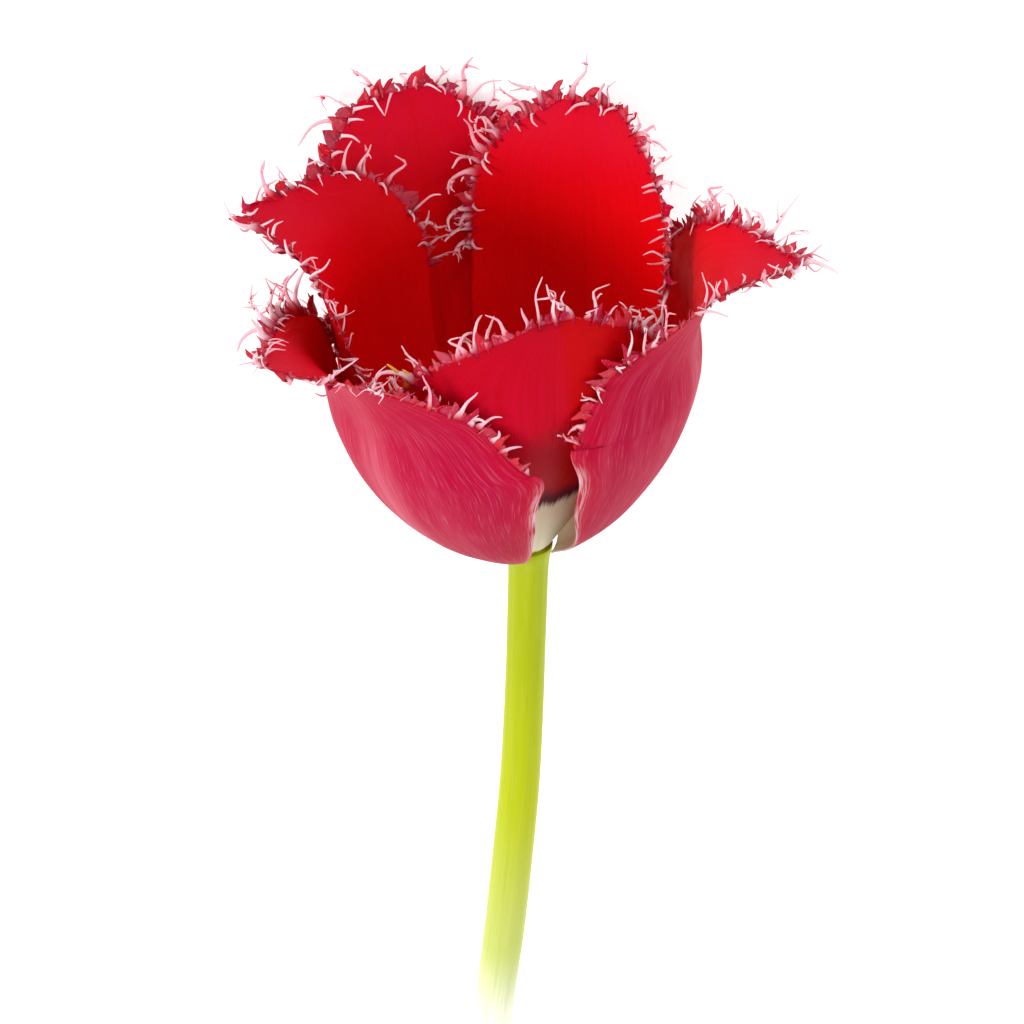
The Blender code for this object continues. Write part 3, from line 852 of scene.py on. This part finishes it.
class Nodes:
    """A small helper to write a material's node tree."""

    def __init__(self, name):
        self.material = bpy.data.materials.new(name)
        self.material.use_nodes = True
        self.tree = self.material.node_tree
        self.shader = self.tree.nodes["Principled BSDF"]
        self.output = self.tree.nodes["Material Output"]

    def node(self, kind, **values):
        made = self.tree.nodes.new(kind)
        for key, value in values.items():
            setattr(made, key, value)
        return made

    def link(self, value, socket):
        if isinstance(value, bpy.types.NodeSocket):
            self.tree.links.new(value, socket)
        else:
            socket.default_value = value

    def set(self, **values):
        """Plain values for the shader's own sockets, with _ for a space in their names."""
        for key, value in values.items():
            self.shader.inputs[key.replace("_", " ")].default_value = value

    def math(self, operation, a, b=0.0, clamp=False):
        made = self.node("ShaderNodeMath", operation=operation, use_clamp=clamp)
        self.link(a, made.inputs[0])
        self.link(b, made.inputs[1])
        return made.outputs[0]

    def times(self, a, b, clamp=False):
        return self.math("MULTIPLY", a, b, clamp)

    def between(self, value, low, high, to_low=0.0, to_high=1.0):
        made = self.node("ShaderNodeMapRange", interpolation_type="SMOOTHSTEP")
        self.link(value, made.inputs["Value"])
        made.inputs["From Min"].default_value = low
        made.inputs["From Max"].default_value = high
        made.inputs["To Min"].default_value = to_low
        made.inputs["To Max"].default_value = to_high
        return made.outputs["Result"]

    def mix(self, factor, a, b):
        made = self.node("ShaderNodeMix", data_type="RGBA")
        self.link(factor, made.inputs["Factor"])
        self.link(a, made.inputs[6])
        self.link(b, made.inputs[7])
        return made.outputs[2]

    def marks(self):
        source = self.node("ShaderNodeAttribute", attribute_name="mark")
        split = self.node("ShaderNodeSeparateXYZ")
        self.tree.links.new(source.outputs["Vector"], split.inputs[0])
        return split.outputs

    def ring_marks(self):
        """The mark along the piece, and the cosine and sine of the mark round it."""
        along, around, _ = self.marks()
        angle = self.times(around, 2 * math.pi)
        return along, self.math("COSINE", angle), self.math("SINE", angle)

    def noise(self, x, y, z=0.0, scale=1.0, detail=3.0):
        """Noise read at a point made of three numbers or sockets."""
        made = self.node("ShaderNodeTexNoise")
        join = self.node("ShaderNodeCombineXYZ")
        for value, socket in zip((x, y, z), join.inputs):
            self.link(value, socket)
        self.tree.links.new(join.outputs[0], made.inputs["Vector"])
        made.inputs["Scale"].default_value = scale
        made.inputs["Detail"].default_value = detail
        made.inputs["Roughness"].default_value = NOISE_ROUGH
        return made.outputs["Fac"]

    def bump(self, height, strength):
        made = self.node("ShaderNodeBump")
        made.inputs["Strength"].default_value = strength
        made.inputs["Distance"].default_value = BUMP_DISTANCE
        self.link(height, made.inputs["Height"])
        self.tree.links.new(made.outputs[0], self.shader.inputs["Normal"])
        return made.outputs[0]

    def glow(self, colour, share, normal=None):
        """Lets part of the light through the sheet."""
        through = self.node("ShaderNodeBsdfTranslucent")
        self.link(colour, through.inputs["Color"])
        if normal is not None:
            self.tree.links.new(normal, through.inputs["Normal"])
        join = self.node("ShaderNodeMixShader")
        join.inputs[0].default_value = share
        self.tree.links.new(self.shader.outputs[0], join.inputs[1])
        self.tree.links.new(through.outputs[0], join.inputs[2])
        self.tree.links.new(join.outputs[0], self.output.inputs["Surface"])


def inner_face(n, along, across, fine, broad, claw):
    """The colour of a petal's inner face, scarlet on every petal, with a dark blotch and a foot;
    painted light brightens it low in the cup and painted shade darkens the midrib crease.
    """
    reach = n.math("ABSOLUTE", across)
    # Painted light: brighter low in the cup, where shade falls deepest, and darker towards the top
    colour = n.mix(n.between(along, 0.10, 0.75), INNER_LOW_PAINTED_LIGHT, INNER_HIGH)
    colour = n.mix(n.between(along, 0.70, 1.0), colour, INNER_TIP)
    colour = n.mix(n.between(broad, 0.35, 0.7, 0.0, 0.35), colour, INNER_BROAD)
    colour = n.mix(n.between(fine, 0.55, 0.8, 0.0, 0.25), colour, INNER_FINE)
    # Painted shade: darker along the midrib crease, above the foot
    crease_shade = n.times(n.between(reach, 0.035, 0.0), n.between(along, 0.15, 0.4))
    colour = n.mix(n.times(crease_shade, 0.22), colour, INNER_CREASE_SHADE)
    if claw:
        colour = n.mix(n.between(along, 0.17, 0.08), colour, BLOTCH_NARROW)
        return n.mix(n.between(along, 0.08, 0.02), colour, YELLOW_FOOT)
    colour = n.mix(n.between(along, 0.34, 0.24), colour, BLOTCH_WIDE)
    return n.mix(n.between(along, 0.25, 0.20), colour, CREAM_FOOT)


def outer_face(n, along, across, fine, broad, kind, pale, seed, claw):
    """The colour of a petal's outer face: streaks, a pale bloom on the spine, and edge or claw;
    without a claw, painted sheen on pale streaks and on the lower side edges.
    """
    reach = n.math("ABSOLUTE", across)
    ground, streak, edge = kind
    colour = n.mix(n.between(fine, 0.35, 0.72), ground, streak)
    spine = n.times(n.between(reach, 0.22, 0.0), n.between(along, 0.95, 0.45))
    spine = n.times(spine, n.between(fine, 0.25, 0.6, 0.35, 1.0))
    colour = n.mix(n.times(spine, pale), colour, SPINE_BLOOM)
    colour = n.mix(n.times(n.between(broad, 0.45, 0.75), pale * 0.5), colour, BROAD_BLOOM)
    colour = n.mix(n.between(reach, 0.72, 0.98, 0.0, 0.75), colour, edge)
    colour = n.mix(n.between(along, 0.60, 0.95, 0.0, 0.6), colour, edge)
    ragged = n.math("ADD", along, n.times(n.math("SUBTRACT", fine, 0.5), 0.07))
    if claw:
        colour = n.mix(n.between(across, -0.12, 0.10), colour, CLAW_RED)
        colour = n.mix(n.between(ragged, 0.35, 0.28), colour, CLAW_BLOTCH)
        return n.mix(n.between(ragged, 0.275, 0.235), colour, CLAW_CREAM)
    # Fine streaks, partly the petal's own and partly painted sheen
    silver_sheen = n.noise(n.times(across, 90.0), n.times(along, 12.0), seed + 9.0, detail=6.0)
    colour = n.mix(n.between(silver_sheen, 0.48, 0.80, 0.0, 0.40), colour, SILVER_SHEEN)
    colour = n.mix(n.between(ragged, 0.22, 0.08, 0.0, 0.45), colour, FOOT_PINK)
    colour = n.mix(n.between(ragged, 0.10, 0.03), colour, FOOT_CREAM)
    # Painted sheen on the lower left and right edges, broken up by the streaks
    rim_sheen = n.times(n.between(reach, 0.90, 1.0), n.between(along, 0.58, 0.40))
    return n.mix(n.times(rim_sheen, n.between(silver_sheen, 0.40, 0.60)), colour, RIM_SHEEN)


def petal_material(name, kind, pale, seed, claw):
    """kind colours the outer face, pale is how strong the bloom on it is."""
    n = Nodes(name)
    along, across, out = n.marks()
    fine = n.noise(n.times(across, 34.0), n.times(along, 2.2), seed, detail=4.0)
    broad = n.noise(n.times(across, 9.0), n.times(along, 1.4), seed + 3.0)
    inner = inner_face(n, along, across, fine, broad, claw)
    outer = outer_face(n, along, across, fine, broad, kind, pale, seed, claw)
    colour = n.mix(out, inner, outer)
    n.link(colour, n.shader.inputs["Base Color"])
    n.link(n.between(fine, 0.2, 0.8, 0.42, 0.58), n.shader.inputs["Roughness"])
    n.set(Specular_IOR_Level=0.06)
    veins = n.noise(n.times(across, 70.0), n.times(along, 3.0), seed + 7.0, detail=5.0)
    n.glow(colour, PETAL_GLOW, n.bump(veins, 0.3))
    return n.material


def fringe_material():
    """Crimson at the root, pale at the tip; a mark of 2 for pale turns a strand orange."""
    n = Nodes("fringe")
    along, pale, shade = n.marks()
    grain = n.node("ShaderNodeTexNoise")
    n.link(n.node("ShaderNodeTexCoord").outputs["Object"], grain.inputs["Vector"])
    grain.inputs["Scale"].default_value = SPECKLE_SCALE
    root = n.mix(shade, *ROOT_SHADES)
    root = n.mix(n.between(grain.outputs["Fac"], 0.60, 0.70, 0.0, 0.35), root, SPECKLE)
    turn_pale = n.times(n.between(along, 0.08, 0.36), pale, True)
    colour = n.mix(turn_pale, root, n.mix(shade, *TIP_SHADES))
    colour = n.mix(n.between(pale, 1.2, 1.5), colour, n.mix(along, *ORANGE_SHADES))
    n.link(colour, n.shader.inputs["Base Color"])
    n.set(Roughness=0.45, Specular_IOR_Level=0.15)
    n.glow(colour, FRINGE_GLOW)
    return n.material


def stem_material():
    n = Nodes("stem")
    along, x, y = n.ring_marks()
    fine = n.noise(n.times(x, 9.0), n.times(y, 9.0), n.times(along, 5.0), detail=4.0)
    broad = n.noise(x, y, n.times(along, 6.0), 1.5)
    colour = n.mix(n.between(along, 0.15, 0.6), *STEM_GREENS)
    colour = n.mix(n.between(along, 0.5, 0.82), colour, STEM_PALE)
    colour = n.mix(n.between(along, 0.76, 0.95), colour, STEM_END)
    colour = n.mix(n.between(fine, 0.42, 0.75, 0.0, 0.25), colour, STEM_DARK)
    colour = n.mix(n.between(broad, 0.5, 0.8, 0.0, 0.25), colour, STEM_LIGHT)
    n.link(colour, n.shader.inputs["Base Color"])
    n.link(n.between(fine, 0.2, 0.8, 0.38, 0.55), n.shader.inputs["Roughness"])
    n.set(Specular_IOR_Level=0.15)
    n.bump(fine, 0.3)
    return n.material


def plain_material(name, low, high, split, grain, rough):
    """A material that turns from one colour to another along the piece, with fine grain."""
    n = Nodes(name)
    along, x, y = n.ring_marks()
    fine = n.noise(x, y, n.times(along, 8.0), grain, detail=5.0)
    colour = n.mix(n.between(along, split - 0.1, split + 0.1), low, high)
    dark = tuple(0.55 * c for c in low[:3]) + (1,)
    colour = n.mix(n.between(fine, 0.4, 0.7, 0.0, 0.35), colour, dark)
    n.link(colour, n.shader.inputs["Base Color"])
    n.set(Roughness=rough)
    n.bump(fine, 0.5)
    return n.material


def make_materials():
    green, cream = (0.50, 0.58, 0.20, 1), (0.86, 0.80, 0.45, 1)
    yellow, purple = (0.75, 0.62, 0.10, 1), (0.16, 0.03, 0.06, 1)
    black, violet = (0.040, 0.008, 0.035, 1), (0.05, 0.012, 0.04, 1)
    return {
        "outer": petal_material("petal_outer", OUTER_KIND, 0.55, 2.0, False),
        "inner": petal_material("petal_inner", INNER_KIND, 0.03, 5.0, True),
        "fringe": fringe_material(),
        "stem": stem_material(),
        "pistil": plain_material("pistil", green, cream, 0.82, 3.0, 0.5),
        "filament": plain_material("filament", yellow, purple, 0.85, 2.0, 0.5),
        "anther": plain_material("anther", black, violet, 0.5, 5.0, 0.85),
    }


def area_light(name, power, size, spot):
    lamp = bpy.data.lights.new(name, "AREA")
    lamp.energy = power
    lamp.size = size
    held = bpy.data.objects.new(name, lamp)
    held.location = spot
    aim = Vector(LIGHTS_AIM) - Vector(spot)
    held.rotation_euler = aim.to_track_quat("-Z", "Y").to_euler()
    bpy.context.scene.collection.objects.link(held)


def make_studio():
    """A pale floor that glows a little, a white world and two soft lights."""
    mesh = bpy.data.meshes.new("floor")
    r = FLOOR_REACH
    mesh.from_pydata([(-r, -r, 0), (r, -r, 0), (r, r, 0), (-r, r, 0)], [], [(0, 1, 2, 3)])
    floor = bpy.data.objects.new("floor", mesh)
    n = Nodes("floor")
    n.set(Base_Color=FLOOR_COLOUR, Roughness=0.8, Specular_IOR_Level=0.1)
    n.set(Emission_Color=(1, 1, 1, 1), Emission_Strength=FLOOR_GLOW)
    mesh.materials.append(n.material)
    bpy.context.scene.collection.objects.link(floor)
    world = bpy.data.worlds.new("studio")
    world.use_nodes = True
    back = world.node_tree.nodes["Background"]
    back.inputs["Color"].default_value = (1, 1, 1, 1)
    back.inputs["Strength"].default_value = WORLD_STRENGTH
    bpy.context.scene.world = world
    for light in LIGHTS:
        area_light(*light)


def make_camera():
    """The camera faces the bloom's front from above, with the bloom where the photograph has it."""
    rise = math.radians(VIEW_RISE)
    lean = math.radians(VIEW_LEAN)
    towards = np.array([0, -math.cos(rise), math.sin(rise)])
    straight = np.array([0, math.sin(rise), math.cos(rise)])
    level = np.array([1.0, 0, 0])
    right = LAY @ (level * math.cos(lean) - straight * math.sin(lean))
    upward = LAY @ (straight * math.cos(lean) + level * math.sin(lean))
    towards = LAY @ towards
    centre = np.array(BLOOM_AT)
    centre = centre + right * (PICTURE / 2 - BLOOM_PIXEL[0]) * MM_PER_PIXEL
    centre = centre - upward * (PICTURE / 2 - BLOOM_PIXEL[1]) * MM_PER_PIXEL
    eye = (centre + towards * VIEW_AWAY) * MM
    data = bpy.data.cameras.new("camera")
    data.sensor_width = SENSOR
    data.lens = SENSOR * VIEW_AWAY / (PICTURE * MM_PER_PIXEL)
    held = bpy.data.objects.new("camera", data)
    rows = [(right[k], upward[k], towards[k], eye[k]) for k in range(3)]
    held.matrix_world = Matrix(rows + [(0, 0, 0, 1)])
    bpy.context.scene.collection.objects.link(held)
    bpy.context.scene.camera = held


materials = make_materials()
make_camera()
make_studio()
make_stem(materials)
make_petals(materials)
make_pistil(materials)
make_stamens(materials)
bpy.context.scene.view_settings.view_transform = "Standard"
bpy.context.view_layer.update()
